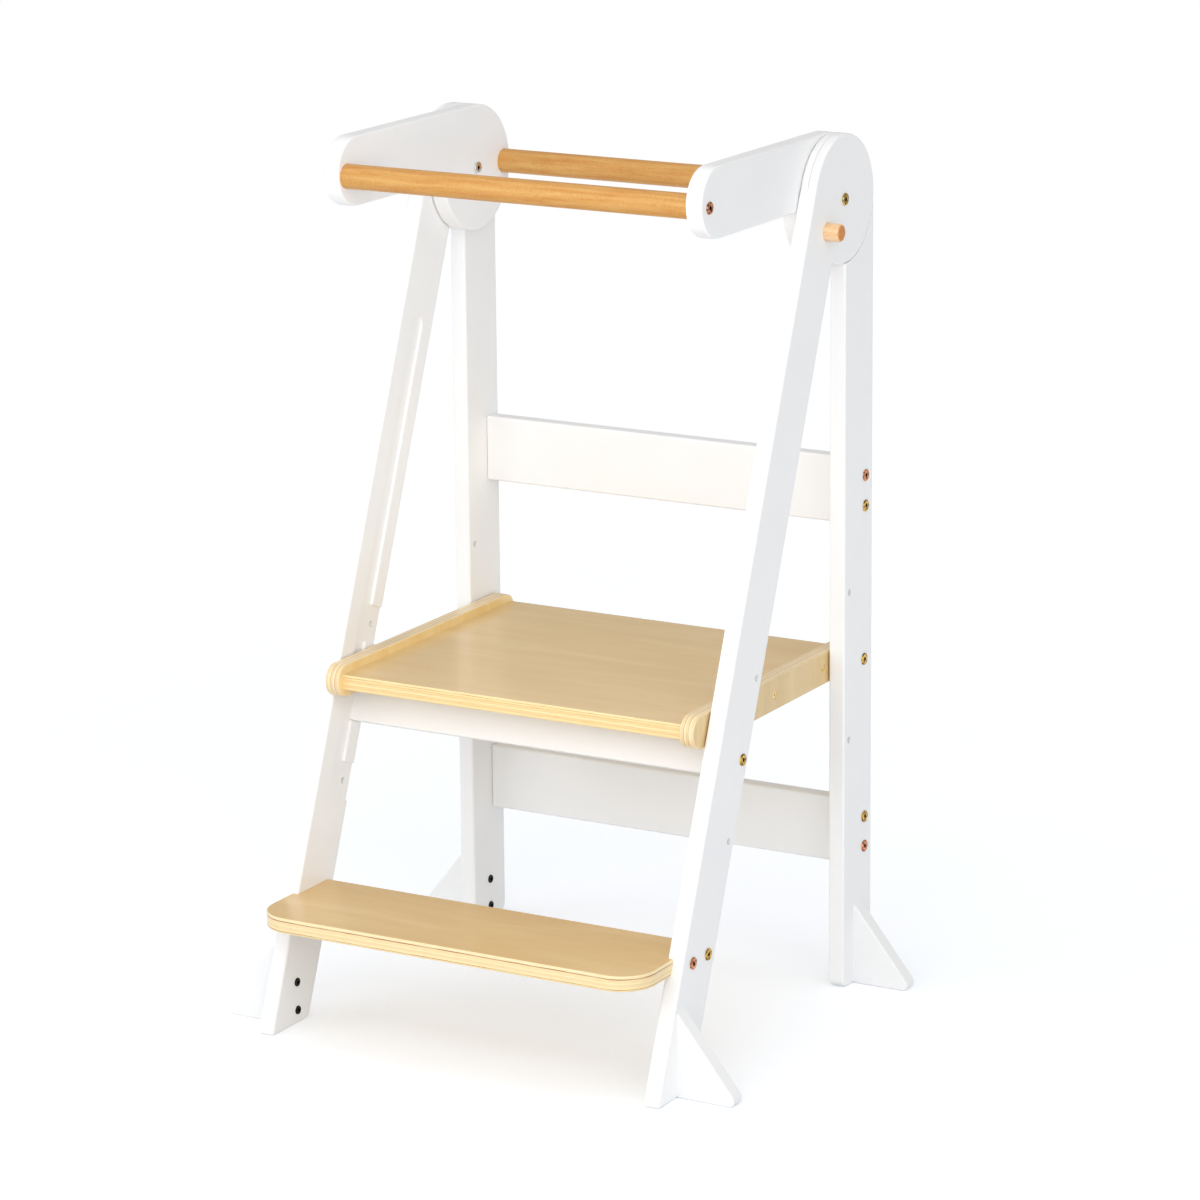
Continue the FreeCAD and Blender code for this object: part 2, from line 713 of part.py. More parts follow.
def make_arm(side):
    """A guard arm: a bar with a half-round front end and a round head at the pivot."""
    high = pivot_height + head_radius
    low = pivot_height - arm_drop
    end_radius = (high - low) / 2
    tip = pivot_y - arm_reach
    corners = [(tip, low, end_radius), (pivot_y, low, 0), (pivot_y, high, 0), (tip, high, end_radius)]
    arm = side_plate(corners, side * arm_inner, side * arm_outer)
    arm = arm.fuse(pivot_disc(head_radius, side * arm_inner, side * arm_outer)).removeSplitter()
    arm = arm.makeFillet(board_edge_round, rims(arm, X_AXIS))
    arm = drill(arm, side, [pivot_place], pivot_bore)
    arm = drill(arm, side, [front_dowel_place], bolt_hole_diameter)
    return arm.cut(screw_hole(side, side * arm_outer, rear_dowel_place))


def make_front_dowel():
    """The dowel in front of the child, held by a bolt at each end."""
    dowel = rod(dowel_diameter, -arm_inner, arm_inner, front_dowel_place)
    for side in SIDES.values():
        dowel = dowel.cut(insert_bore(side, side * arm_inner, front_dowel_place))
    return dowel


def make_rear_dowel():
    """The dowel behind the child, held by a screw at each end."""
    dowel = rod(dowel_diameter, -arm_inner, arm_inner, rear_dowel_place)
    for side in SIDES.values():
        dowel = dowel.cut(screw_body(side, side * arm_outer, rear_dowel_place))
    return dowel


for side_name, side in SIDES.items():
    save(f"guard_arm_{side_name}", make_arm(side))
save("front_dowel_rail", make_front_dowel())
save("rear_dowel_rail", make_rear_dowel())
dowel_bolts, dowel_inserts = bolts_and_inserts(1, arm_outer, arm_thickness, [front_dowel_place])
save("front_dowel_bolts", dowel_bolts)
save("front_dowel_inserts", dowel_inserts)
save("rear_dowel_screws", [wood_screw(side, side * arm_outer, rear_dowel_place) for side in SIDES.values()])


# ---- Lock pegs --------------------------------------------------------------------------------------------


def make_peg(side):
    """A short dowel that holds the two laps in line; it is pulled outwards to fold the stool."""
    end = leg_outer + peg_stand_out
    peg = rod(peg_diameter, side * (leg_inner + peg_end_gap), side * end, peg_place)
    outer_rim = [edge for edge in rims(peg, X_AXIS) if abs(edge.BoundBox.Center.x) > leg_outer]
    return peg.makeFillet(peg_end_round, outer_rim)


for side_name, side in SIDES.items():
    save(f"lock_peg_{side_name}", make_peg(side))


# ---- Sizes that the motion needs ----------------------------------------------------------------------------

pin_distance = hinge_y - guide_pin_y
folded_pin_forward = hinge_y - (pivot_y - groove_line)
platform_fold = math.degrees(math.acos(folded_pin_forward / pin_distance))
print(f"pivot y {pivot_y:.3f} z {pivot_height:.3f}")
print(f"platform hinge y {hinge_y:.3f} z {hinge_height:.3f}")
print(f"pegs y {peg_place[0]:.3f} z {peg_place[1]:.3f}")
print(f"platform fold {platform_fold:.3f} degrees, {platform_fold / front_leg_slant:.4f} per degree of the legs")
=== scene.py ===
# %% [markdown]
# # A folding kitchen helper stool
# The stool is painted wood, birch plywood and beech, held together by furniture bolts. Its pieces already
# have their real size and place in the frame, so this lesson gives each one its finish, replaces the plain
# fasteners with detailed ones, and sets up the light and the camera of a plain studio photograph.

# %% Load the frame
import json
import math
import bmesh
import bpy
from mathutils import Matrix, Vector


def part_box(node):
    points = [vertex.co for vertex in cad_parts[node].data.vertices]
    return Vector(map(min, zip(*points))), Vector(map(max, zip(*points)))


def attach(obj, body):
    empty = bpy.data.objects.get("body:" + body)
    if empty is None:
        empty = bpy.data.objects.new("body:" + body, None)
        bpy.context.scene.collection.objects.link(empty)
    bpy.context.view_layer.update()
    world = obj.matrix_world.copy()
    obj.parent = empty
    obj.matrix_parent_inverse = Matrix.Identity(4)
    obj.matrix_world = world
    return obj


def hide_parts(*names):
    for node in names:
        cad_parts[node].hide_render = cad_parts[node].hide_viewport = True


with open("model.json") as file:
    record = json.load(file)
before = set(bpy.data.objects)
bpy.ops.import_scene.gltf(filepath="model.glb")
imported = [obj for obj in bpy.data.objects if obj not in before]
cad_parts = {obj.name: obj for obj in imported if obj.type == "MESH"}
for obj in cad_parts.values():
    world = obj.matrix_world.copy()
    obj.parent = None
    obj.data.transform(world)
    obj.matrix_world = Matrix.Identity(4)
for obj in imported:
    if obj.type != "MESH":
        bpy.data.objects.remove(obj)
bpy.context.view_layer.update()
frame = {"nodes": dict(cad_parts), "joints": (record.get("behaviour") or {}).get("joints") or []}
nodes = frame["nodes"]

# %% [markdown]
# ## Small helpers
# Colours are written as sRGB hex, the way a paint chart gives them, and turned to linear light once. Every
# material is a small node tree, and one function adds a node with its settings and links, so that each tree
# reads from top to bottom as the finish was made. A Mix, Map Range or Vector Math node has sockets for
# several kinds of value and switches on only those that it uses, so the function looks for one of these.

# %% Colour and node helpers
MM = 0.001
X, Y, Z = range(3)
MIX_COLOURS = {"data_type": "RGBA"}
MULTIPLY_COLOURS = {"data_type": "RGBA", "blend_type": "MULTIPLY"}
NOISE_LOW, NOISE_HIGH = 0.3, 0.7        # most of a noise lies between these


def linear(hex_colour):
    """An sRGB hex colour as linear RGBA."""
    channels = [int(hex_colour[i:i + 2], 16) / 255 for i in (1, 3, 5)]
    return [c / 12.92 if c <= 0.04045 else ((c + 0.055) / 1.055) ** 2.4 for c in channels] + [1.0]


def switched_on(sockets, name=None):
    """The first socket that is switched on, of those with this name if one is given."""
    return next(socket for socket in sockets if socket.enabled and name in (None, socket.name))


def add(tree, kind, inputs=None, stops=None, **settings):
    """Adds a node. inputs maps a socket's name or number to a value or to its source; stops fill a ramp."""
    node = tree.nodes.new(kind)
    for name, value in settings.items():
        setattr(node, name, value)
    for key, value in (inputs or {}).items():
        socket = node.inputs[key] if isinstance(key, int) else switched_on(node.inputs, key)
        if isinstance(value, bpy.types.Node):
            value = switched_on(value.outputs)
        if isinstance(value, bpy.types.NodeSocket):
            tree.links.new(value, socket)
        else:
            socket.default_value = value
    for index, (position, colour) in enumerate(stops or []):
        elements = node.color_ramp.elements
        stop = elements[index] if index < len(elements) else elements.new(position)
        stop.position = position
        stop.color = linear(colour)
    return node


def new_material(name):
    """An empty node material and its tree."""
    material = bpy.data.materials.new(name)
    material.use_nodes = True
    material.node_tree.nodes.clear()
    return material, material.node_tree


def by_axis(axis, there, elsewhere):
    """A vector with one value on an axis and another on the two others, to stretch a pattern."""
    return [there if index == axis else elsewhere for index in (X, Y, Z)]


print("white paint chip in linear light", [round(c, 3) for c in linear("#F5F5F5")])

# %% [markdown]
# ## Satin white paint on solid wood
# The legs, rails, arms and feet are beech boards, sanded, primed and sprayed white. Sprayed paint dries to a
# fine orange peel, and the wood's long grain still shows through it as very faint lines. A noise stretched
# along the board gives the grain and a fine noise gives the peel. Both go to the bump, because paint hides
# the wood's colour but not its relief. The grain has to run along each board, so the material takes the
# board's direction as a rotation. To the eye it is a soft, even white with a broad, quiet shine.

# %% Paint material
PAINT_TONES = [(NOISE_LOW, "#F5F5F5"), (NOISE_HIGH, "#F8F8F7")]


def satin_white_paint(name, tilt=(0, 0, 0)):
    """White satin paint; the wood's grain runs along Z, which tilt (degrees) turns to the board."""
    material, tree = new_material(name)
    place = add(tree, "ShaderNodeTexCoord").outputs["Object"]
    rotation = [math.radians(angle) for angle in tilt]
    turned = add(tree, "ShaderNodeMapping", {"Vector": place, "Rotation": rotation})
    along = add(tree, "ShaderNodeMapping", {"Vector": turned, "Scale": by_axis(Z, 0.03, 1)})
    grain_width = 2.2 * MM
    grain = add(tree, "ShaderNodeTexNoise", {"Vector": along, "Scale": 1 / grain_width, "Detail": 4.0})
    peel_size = 1.1 * MM
    peel = add(tree, "ShaderNodeTexNoise", {"Vector": place, "Scale": 1 / peel_size, "Detail": 1.0})
    cloud_size = 90 * MM
    cloud = add(tree, "ShaderNodeTexNoise", {"Vector": place, "Scale": 1 / cloud_size, "Detail": 2.0})
    tone = add(tree, "ShaderNodeValToRGB", {"Fac": cloud}, PAINT_TONES)
    gloss = add(tree, "ShaderNodeMapRange", {"Value": cloud, "From Min": NOISE_LOW, "From Max": NOISE_HIGH,
                                             "To Min": 0.34, "To Max": 0.42})
    film_relief = 0.2 * MM
    grain_bump = add(tree, "ShaderNodeBump", {"Height": grain, "Strength": 0.08, "Distance": film_relief})
    peel_bump = add(tree, "ShaderNodeBump", {"Height": peel, "Strength": 0.05, "Distance": film_relief,
                                             "Normal": grain_bump})
    paint = add(tree, "ShaderNodeBsdfPrincipled", {"Base Color": tone, "Roughness": gloss, "IOR": 1.5,
                                                   "Normal": peel_bump})
    add(tree, "ShaderNodeOutputMaterial", {"Surface": paint})
    return material


fold = next(joint for joint in frame["joints"] if joint["name"] == "front_frame_fold")
front_leg_slant = fold["range_deg"][1]        # the front legs fold back until they are upright
paint_upright = satin_white_paint("satin_white_paint_upright")
paint_slanted = satin_white_paint("satin_white_paint_slanted", (front_leg_slant, 0, 0))
paint_across = satin_white_paint("satin_white_paint_across", (0, 90, 0))
paint_forward = satin_white_paint("satin_white_paint_forward", (90, 0, 0))
print("four directions of painted board, the slanted one at", front_leg_slant, "degrees")

# %% [markdown]
# ## Birch plywood: the sawn edge
# The platform, its side rails and the step are birch plywood with a clear lacquer. The sawn edge shows every
# ply: pale cream where the grain runs along the edge, a little darker where it is cut across, and between
# them thin orange-brown glue lines that break into dashes. The layers are colour ramps across the sheet's
# thickness, so they stay flat and wrap round the rounded ends by themselves.

# %% The layers of each sheet, from its low or inner side to the other
PLATFORM_TONES = ["#F1D596", "#F5DDA4", "#EFD092", "#F6E0AA", "#F0D294", "#F5DCA2", "#F7E0A8"]
PLATFORM_LINES = [(0.09, "#808080"), (0.22, "#BBBBBB"), (0.38, "#8A8A8A"), (0.54, "#A0A0A0"),
                  (0.70, "#D0D0D0"), (0.84, "#FFFFFF")]
PLATFORM_GLUE = "#CC8436"
RAIL_TONES = ["#F0D9AC", "#ECD0A0", "#F3DFB6", "#EBCF9E", "#F3DDB2", "#EED5A6"]
RAIL_LINES = [(0.12, "#8A8A8A"), (0.30, "#FFFFFF"), (0.46, "#B0B0B0"), (0.62, "#FFFFFF"),
              (0.84, "#9A9A9A")]
RAIL_GLUE = "#B98A50"
STEP_TONES = ["#F1D79E", "#F5DFAC", "#F0D6A0", "#F6E2B2", "#F1D8A4", "#F6E0AE", "#F7E3B4"]
STEP_LINES = [(0.13, "#FFFFFF"), (0.30, "#555555"), (0.43, "#777777"), (0.56, "#4A4A4A"),
              (0.76, "#FFFFFF"), (0.795, "#FFFFFF")]
STEP_GLUE = "#A25A12"
LINE_THICKNESS = 0.5 * MM        # thicker than real glue lines, so that they show


def sheet_plies(tones, lines, line_share):
    """Stops for the ply tones and for the glue lines between them, with every line line_share thick."""
    edges = [0.0] + [place for place, strength in lines]
    plies = list(zip(edges, tones))
    glue = [(0.0, "#000000")]
    for place, strength in lines:
        glue += [(place - line_share / 2, strength), (place + line_share / 2, "#000000")]
    return plies, glue


print(len(PLATFORM_TONES), "plies in the platform")


# %% Plies, glue lines and saw streaks
def sawn_edge(tree, place, across, sheet_axis, low, high, tones, lines, glue_colour):
    """The edge of a sheet whose layers lie from low to high: the noise of its streaks, and its colour."""
    # The layers run slightly wavy, because veneers are pressed, not machined.
    depth = add(tree, "ShaderNodeMath", {0: across}, operation="ABSOLUTE")
    wave_size = 35 * MM
    wave = add(tree, "ShaderNodeTexNoise", {"Vector": place, "Scale": 1 / wave_size, "Detail": 2.0})
    wave_height = 0.4 * MM
    shift = add(tree, "ShaderNodeMapRange", {"Value": wave, "To Min": -wave_height, "To Max": wave_height})
    wavy = add(tree, "ShaderNodeMath", {0: depth, 1: shift}, operation="ADD")
    layer = add(tree, "ShaderNodeMapRange", {"Value": wavy, "From Min": low, "From Max": high})
    ply, line = [add(tree, "ShaderNodeValToRGB", {"Fac": layer}, stops)
                 for stops in sheet_plies(tones, lines, LINE_THICKNESS / (high - low))]
    for ramp in (ply, line):
        ramp.color_ramp.interpolation = "CONSTANT"

    # Sawn end grain makes short streaks along each ply, and the glue lines come and go.
    layer_stretch = by_axis(sheet_axis, 1, 0.045)
    along_layer = add(tree, "ShaderNodeMapping", {"Vector": place, "Scale": layer_stretch})
    streak_width = 0.6 * MM
    streak = add(tree, "ShaderNodeTexNoise", {"Vector": along_layer, "Scale": 1 / streak_width,
                                              "Detail": 3.0})
    streak_tone = add(tree, "ShaderNodeValToRGB", {"Fac": streak}, [(0.30, "#E6BF88"), (0.46, "#FFFFFF")])
    streaked = add(tree, "ShaderNodeMix", {"Factor": 0.35, "A": ply, "B": streak_tone}, **MULTIPLY_COLOURS)
    dash_width = 1.4 * MM
    dash = add(tree, "ShaderNodeTexNoise", {"Vector": along_layer, "Scale": 1 / dash_width, "Detail": 2.0})
    dash_share = add(tree, "ShaderNodeMapRange", {"Value": dash, "From Min": 0.38, "From Max": 0.58,
                                                  "To Min": 0.55, "To Max": 1.0})
    glue_share = add(tree, "ShaderNodeMath", {0: line, 1: dash_share}, operation="MULTIPLY")
    colour = add(tree, "ShaderNodeMix", {"Factor": glue_share, "A": streaked, "B": linear(glue_colour)},
                 **MIX_COLOURS)
    return streak, colour


# %% [markdown]
# ## Birch plywood: the face
# The face is one peeled veneer, pale tan, with a very soft figure and fine short streaks. It takes over from
# the edge where the surface looks the sheet's own way. The side rails' inner faces get a lighter, yellower
# copy
# of the veneer: painted light, for the brighter light that falls on them. The lacquer is a coat over the
# wood:
# at a low angle it mirrors the white legs as soft pale bands.

# %% Face veneer
BOARD_VENEER = ("#DEBD82", "#E1C188", "#E5C791")
STEP_VENEER = ("#DCB778", "#E0BD80", "#E5C48B")
RAIL_OUTER_VENEER = ("#DDBD84", "#E2C48C", "#E7CA95")
# painted light: the rails' inner faces take a lighter, yellower copy of the outer veneer, for the brighter
# light on them
RAIL_INNER_VENEER_PAINTED_LIGHT = ("#F2D08A", "#F6D898", "#F9DFA6")


def face_veneer(tree, place, across, facing, grain_axis, veneers):
    """The faces of a sheet: the noise of the wood's fibres, and the veneer's colour.

    veneers are the tones on the high (outer) side and on the low (inner) side.
    """
    along_grain = add(tree, "ShaderNodeMapping", {"Vector": place, "Scale": by_axis(grain_axis, 0.15, 1)})
    figure_width = 30 * MM
    figure = add(tree, "ShaderNodeTexNoise", {"Vector": along_grain, "Scale": 1 / figure_width,
                                              "Detail": 3.0, "Distortion": 0.8})
    outer, inner = [add(tree, "ShaderNodeValToRGB", {"Fac": figure},
                        list(zip((NOISE_LOW, 0.5, NOISE_HIGH), tones))) for tones in veneers]
    side = add(tree, "ShaderNodeMath", {0: across}, operation="SIGN")
    outward = add(tree, "ShaderNodeMath", {0: facing, 1: side}, operation="MULTIPLY")
    is_outer = add(tree, "ShaderNodeMath", {0: outward, 1: 0.0}, operation="GREATER_THAN")
    veneer = add(tree, "ShaderNodeMix", {"Factor": is_outer, "A": inner, "B": outer}, **MIX_COLOURS)
    along_fibre = add(tree, "ShaderNodeMapping", {"Vector": place, "Scale": by_axis(grain_axis, 0.05, 1)})
    fibre_width = 1.1 * MM
    fibre = add(tree, "ShaderNodeTexNoise", {"Vector": along_fibre, "Scale": 1 / fibre_width,
                                             "Detail": 4.0})
    fibre_tone = add(tree, "ShaderNodeValToRGB", {"Fac": fibre}, [(0.30, "#E2D0AE"), (0.55, "#FFFFFF")])
    colour = add(tree, "ShaderNodeMix", {"Factor": 0.16, "A": veneer, "B": fibre_tone}, **MULTIPLY_COLOURS)
    return fibre, colour


# %% Plywood material
def birch_plywood(name, sheet_axis, low, high, grain_axis, tones, lines, glue_colour, veneers):
    """Lacquered birch plywood. sheet_axis is across the layers, which lie from low to high."""
    material, tree = new_material(name)
    coordinates = add(tree, "ShaderNodeTexCoord")
    place = coordinates.outputs["Object"]
    across = add(tree, "ShaderNodeSeparateXYZ", {"Vector": place}).outputs[sheet_axis]
    normal = add(tree, "ShaderNodeSeparateXYZ", {"Vector": coordinates.outputs["Normal"]})
    facing = normal.outputs[sheet_axis]
    streak, edge_colour = sawn_edge(tree, place, across, sheet_axis, low, high, tones, lines, glue_colour)
    fibre, veneer_colour = face_veneer(tree, place, across, facing, grain_axis, veneers)

    # Where the surface turns away from the sheet's own direction, the edge shows.
    flatness = add(tree, "ShaderNodeMath", {0: facing}, operation="ABSOLUTE")
    is_face = add(tree, "ShaderNodeMapRange", {"Value": flatness, "From Min": 0.80, "From Max": 0.93})
    colour = add(tree, "ShaderNodeMix", {"Factor": is_face, "A": edge_colour, "B": veneer_colour},
                 **MIX_COLOURS)
    gloss = add(tree, "ShaderNodeMapRange", {"Value": fibre, "To Min": 0.30, "To Max": 0.42})
    relief = add(tree, "ShaderNodeMix", {"Factor": is_face, "A": streak, "B": fibre})
    bump = add(tree, "ShaderNodeBump", {"Height": relief, "Strength": 0.10, "Distance": 0.15 * MM})
    wood = add(tree, "ShaderNodeBsdfPrincipled", {
        "Base Color": colour, "Roughness": gloss, "IOR": 1.5, "Normal": bump, "Coat Weight": 0.35,
        "Coat Roughness": 0.16})
    add(tree, "ShaderNodeOutputMaterial", {"Surface": wood})
    return material


board_low, board_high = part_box("platform_board")
rail_low, rail_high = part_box("side_rail_right")
step_low, step_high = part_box("step")
platform_ply = birch_plywood("birch_plywood_platform", Z, board_low[Z], board_high[Z], X, PLATFORM_TONES,
                             PLATFORM_LINES, PLATFORM_GLUE, (BOARD_VENEER, BOARD_VENEER))
side_rail_ply = birch_plywood("birch_plywood_side_rail", X, rail_low[X], rail_high[X], Z, RAIL_TONES,
                              RAIL_LINES, RAIL_GLUE, (RAIL_OUTER_VENEER, RAIL_INNER_VENEER_PAINTED_LIGHT))
step_ply = birch_plywood("birch_plywood_step", Z, step_low[Z], step_high[Z], X, STEP_TONES,
                         STEP_LINES, STEP_GLUE, (STEP_VENEER, STEP_VENEER))
print("ply thickness", round((board_high[Z] - board_low[Z]) / MM, 2), "mm")

# %% [markdown]
# ## Beech
# The two handrail dowels are turned beech with a clear lacquer that warms them to a golden tan. The lock pegs
# are the same wood, left bare, so they are paler. Beech has soft growth rings, cloudy streaks along the grain
# and short dark and pale flecks, and it looks darker on a cut end. The rings are made as real ones are: as
# cylinders round a pith that lies beside the dowel, so side and end match without a seam.


# %% Growth rings
def growth_rings(tree, place, long_grain, pith, ring_width):
    """A value that runs from 0 to 1 and back from ring to ring round the pith, swaying along the grain."""
    sway_size = 14 * MM
    sway = add(tree, "ShaderNodeTexNoise", {"Vector": long_grain, "Scale": 1 / sway_size, "Detail": 3.0})
    from_pith = add(tree, "ShaderNodeVectorMath", {0: place, 1: (0, *pith)}, operation="SUBTRACT")
    flat = add(tree, "ShaderNodeVectorMath", {0: from_pith, 1: by_axis(X, 0, 1)}, operation="MULTIPLY")
    distance = add(tree, "ShaderNodeVectorMath", {0: flat}, operation="LENGTH")
    swayed = add(tree, "ShaderNodeMath", {0: sway, 1: 3 * ring_width, 2: distance},
                 operation="MULTIPLY_ADD")
    turns = add(tree, "ShaderNodeMath", {0: swayed, 1: ring_width}, operation="DIVIDE")
    return add(tree, "ShaderNodeMath", {0: turns, 1: 1.0}, operation="PINGPONG")


# %% Beech material
DOWEL_RINGS = [(0.0, "#D09A52"), (0.5, "#D5A15A"), (1.0, "#DAA963")]
PEG_RINGS = [(0.0, "#F2C693"), (0.35, "#F7D2A4"), (1.0, "#FAD8AE")]
DARK_FLECK = [(0.30, "#CFA06C"), (0.42, "#FFFFFF")]
PALE_RAY = "#F6D3A0"


def beech(name, pith, ring_width, ring_tones, cloud_tone, end_tone, shine):
    """Beech with its grain along X. pith is the (y, z) of the tree's heart, in metres."""
    material, tree = new_material(name)
    coordinates = add(tree, "ShaderNodeTexCoord")
    place = coordinates.outputs["Object"]
    long_grain = add(tree, "ShaderNodeMapping", {"Vector": place, "Scale": by_axis(X, 0.10, 1)})
    ring = growth_rings(tree, place, long_grain, pith, ring_width)
    tone = add(tree, "ShaderNodeValToRGB", {"Fac": ring}, ring_tones)

    # Cloudy streaks, a few millimetres wide and some centimetres long.
    cloud_width = 5 * MM
    cloud = add(tree, "ShaderNodeTexNoise", {"Vector": long_grain, "Scale": 1 / cloud_width,
                                             "Detail": 4.0, "Distortion": 0.5})
    clouded = add(tree, "ShaderNodeValToRGB", {"Fac": cloud}, [(0.32, cloud_tone), (0.62, "#FFFFFF")])
    streaky = add(tree, "ShaderNodeMix", {"Factor": 0.45, "A": tone, "B": clouded}, **MULTIPLY_COLOURS)

    # Short dark flecks, drawn about twice as wide as real ones so that they show.
    fleck_place = add(tree, "ShaderNodeMapping", {"Vector": place, "Scale": by_axis(X, 0.25, 1)})
    fleck_width = 0.9 * MM
    fleck = add(tree, "ShaderNodeTexNoise", {"Vector": fleck_place, "Scale": 1 / fleck_width, "Detail": 2.0})
    fleck_tone = add(tree, "ShaderNodeValToRGB", {"Fac": fleck}, DARK_FLECK)
    flecked = add(tree, "ShaderNodeMix", {"Factor": 0.35, "A": streaky, "B": fleck_tone},
                  **MULTIPLY_COLOURS)

    # Fine pale flecks across the grain, where the wood's rays are cut.
    ray_place = add(tree, "ShaderNodeMapping", {"Vector": place, "Scale": by_axis(X, 1, 0.3)})
    ray_width = 1.0 * MM
    ray = add(tree, "ShaderNodeTexNoise", {"Vector": ray_place, "Scale": 1 / ray_width, "Detail": 2.0})
    ray_share = add(tree, "ShaderNodeMapRange", {"Value": ray, "From Min": 0.56, "From Max": 0.72,
                                                 "To Max": 0.18})
    rayed = add(tree, "ShaderNodeMix", {"Factor": ray_share, "A": flecked, "B": linear(PALE_RAY)},
                **MIX_COLOURS)

    # End grain soaks up more light and looks darker than the side.
    facing = add(tree, "ShaderNodeSeparateXYZ", {"Vector": coordinates.outputs["Normal"]})
    endness = add(tree, "ShaderNodeMath", {0: facing.outputs[X]}, operation="ABSOLUTE")
    is_end = add(tree, "ShaderNodeMapRange", {"Value": endness, "From Min": 0.55, "From Max": 0.95})
    colour = add(tree, "ShaderNodeMix", {"Factor": is_end, "A": rayed, "B": linear(end_tone)},
                 **MULTIPLY_COLOURS)
    bump = add(tree, "ShaderNodeBump", {"Height": fleck, "Strength": 0.08, "Distance": 0.1 * MM})
    wood = add(tree, "ShaderNodeBsdfPrincipled", {
        "Base Color": colour, "Roughness": 0.6 - 0.2 * shine, "Specular IOR Level": 0.2 + 0.2 * shine,
        "Normal": bump})
    add(tree, "ShaderNodeOutputMaterial", {"Surface": wood})
    return material


dowel_low, dowel_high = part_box("front_dowel_rail")
peg_low, peg_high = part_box("lock_peg_right")
dowel_pith = (dowel_low[Y] - 60 * MM, dowel_low[Z] - 30 * MM)
peg_pith = (peg_low[Y] + 4 * MM, peg_low[Z] + 6 * MM)
lacquered_beech = beech("lacquered_beech", dowel_pith, 3.2 * MM, DOWEL_RINGS, "#E6BE8A", "#D8B48C", 0.6)
bare_beech = beech("bare_beech", peg_pith, 2.2 * MM, PEG_RINGS, "#F0D8B8", "#DDB48C", 0.1)
print("dowel", round((dowel_high[Z] - dowel_low[Z]) / MM, 1), "mm, lock peg",
      round((peg_high[Z] - peg_low[Z]) / MM, 1), "mm across")

# %% [markdown]
# ## Plated steel
# The furniture bolts are zinc plated steel. A yellow passivation gives them a thin film, straw yellow on most
# and copper pink on some, and a noise a few millimetres wide moves each between a dark and a light tone. The
# film on the platform's screws is pale, and nuts, washers, pins and inserts are left bright. The heads that
# clamp the feet are blackened. The sockets of the other bolts get a dark brown metal that is painted shade,
# the darkness deep in the hex hole. Every one of them is a metal, with its colour in the base colour, and to
# the eye
# it is mostly what it mirrors: pale paper below and a dimmer room.

# %% Metal materials
YELLOW_TONES = [(0.38, "#6E4C1C"), (0.50, "#C29A44"), (0.62, "#E0C268")]
COPPER_TONES = [(0.38, "#6E3A20"), (0.50, "#C07A52"), (0.62, "#DE9C78")]
UNEVEN_PATCH = 3 * MM
EVEN_PATCH = 5 * MM


def plated_steel(name, tones, roughness, patch=EVEN_PATCH):
    """A plated or blackened steel whose tone drifts over a few millimetres."""
    material, tree = new_material(name)
    place = add(tree, "ShaderNodeTexCoord").outputs["Object"]
    drift = add(tree, "ShaderNodeTexNoise", {"Vector": place, "Scale": 1 / patch, "Detail": 2.0})
    tone = add(tree, "ShaderNodeValToRGB", {"Fac": drift}, tones)
    pit_size = 0.35 * MM
    pits = add(tree, "ShaderNodeTexNoise", {"Vector": place, "Scale": 1 / pit_size, "Detail": 2.0})
    gloss = add(tree, "ShaderNodeMapRange", {"Value": pits, "To Min": roughness - 0.05,
                                             "To Max": roughness + 0.07})
    bump = add(tree, "ShaderNodeBump", {"Height": pits, "Strength": 0.08, "Distance": 0.05 * MM})
    metal = add(tree, "ShaderNodeBsdfPrincipled", {"Base Color": tone, "Metallic": 1.0,
                                                   "Roughness": gloss, "Normal": bump})
    add(tree, "ShaderNodeOutputMaterial", {"Surface": metal})
    return material


yellow_zinc = plated_steel("yellow_zinc_plate", YELLOW_TONES, 0.16, UNEVEN_PATCH)
copper_zinc = plated_steel("copper_toned_plate", COPPER_TONES, 0.16, UNEVEN_PATCH)
bright_zinc = plated_steel("bright_zinc_plate", [(0.35, "#C4C6C8"), (0.65, "#DEDFE0")], 0.18)
pale_zinc = plated_steel("pale_yellow_plate", [(0.35, "#E6CF9A"), (0.65, "#F4E4BC")], 0.25)
black_steel = plated_steel("blackened_steel", [(0.35, "#161617"), (0.65, "#242323")], 0.38)
# painted shade: the sockets take this dark brown metal, which stands for the shade deep in the hex hole
painted_shade_socket = plated_steel("painted_shade_socket_metal", [(0.35, "#2A1C0C"), (0.65, "#4A3418")], 0.45)
print("six metals")

# %% [markdown]
# ## Giving the pieces their finish
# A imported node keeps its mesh, so its finish goes into its material slot. A table from the material to its
# pieces reads like a parts list and is easy to check against the photograph.

# %% Assign the materials
FINISHES = {
    paint_upright: ["rear_leg_left", "rear_leg_right", "rear_foot_left", "rear_foot_right",
                    "front_foot_left", "front_foot_right"],
    paint_slanted: ["front_leg_left", "front_leg_right"],
    paint_across: ["upper_back_rail", "lower_back_rail", "crossbar"],
    paint_forward: ["guard_arm_left", "guard_arm_right"],
    platform_ply: ["platform_board"],
    side_rail_ply: ["side_rail_left", "side_rail_right"],
    step_ply: ["step"],
    lacquered_beech: ["front_dowel_rail", "rear_dowel_rail"],
    bare_beech: ["lock_peg_left", "lock_peg_right"],
    yellow_zinc: ["rear_dowel_screws"],
    bright_zinc: ["back_rail_inserts", "rear_foot_inserts", "front_foot_inserts", "step_inserts",
                  "crossbar_inserts", "front_dowel_inserts", "pivot_washers", "platform_hinge_washers",
                  "guide_pins"],
}


def give(piece, *materials):
    """Fills a piece's material slots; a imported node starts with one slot, which is emptied first."""
    if piece.data.materials:
        piece.data.materials.clear()
    for material in materials:
        piece.data.materials.append(material)


for material, names in FINISHES.items():
    for name in names:
        give(nodes[name], material)
print(sum(len(names) for names in FINISHES.values()), "nodes have their finish")

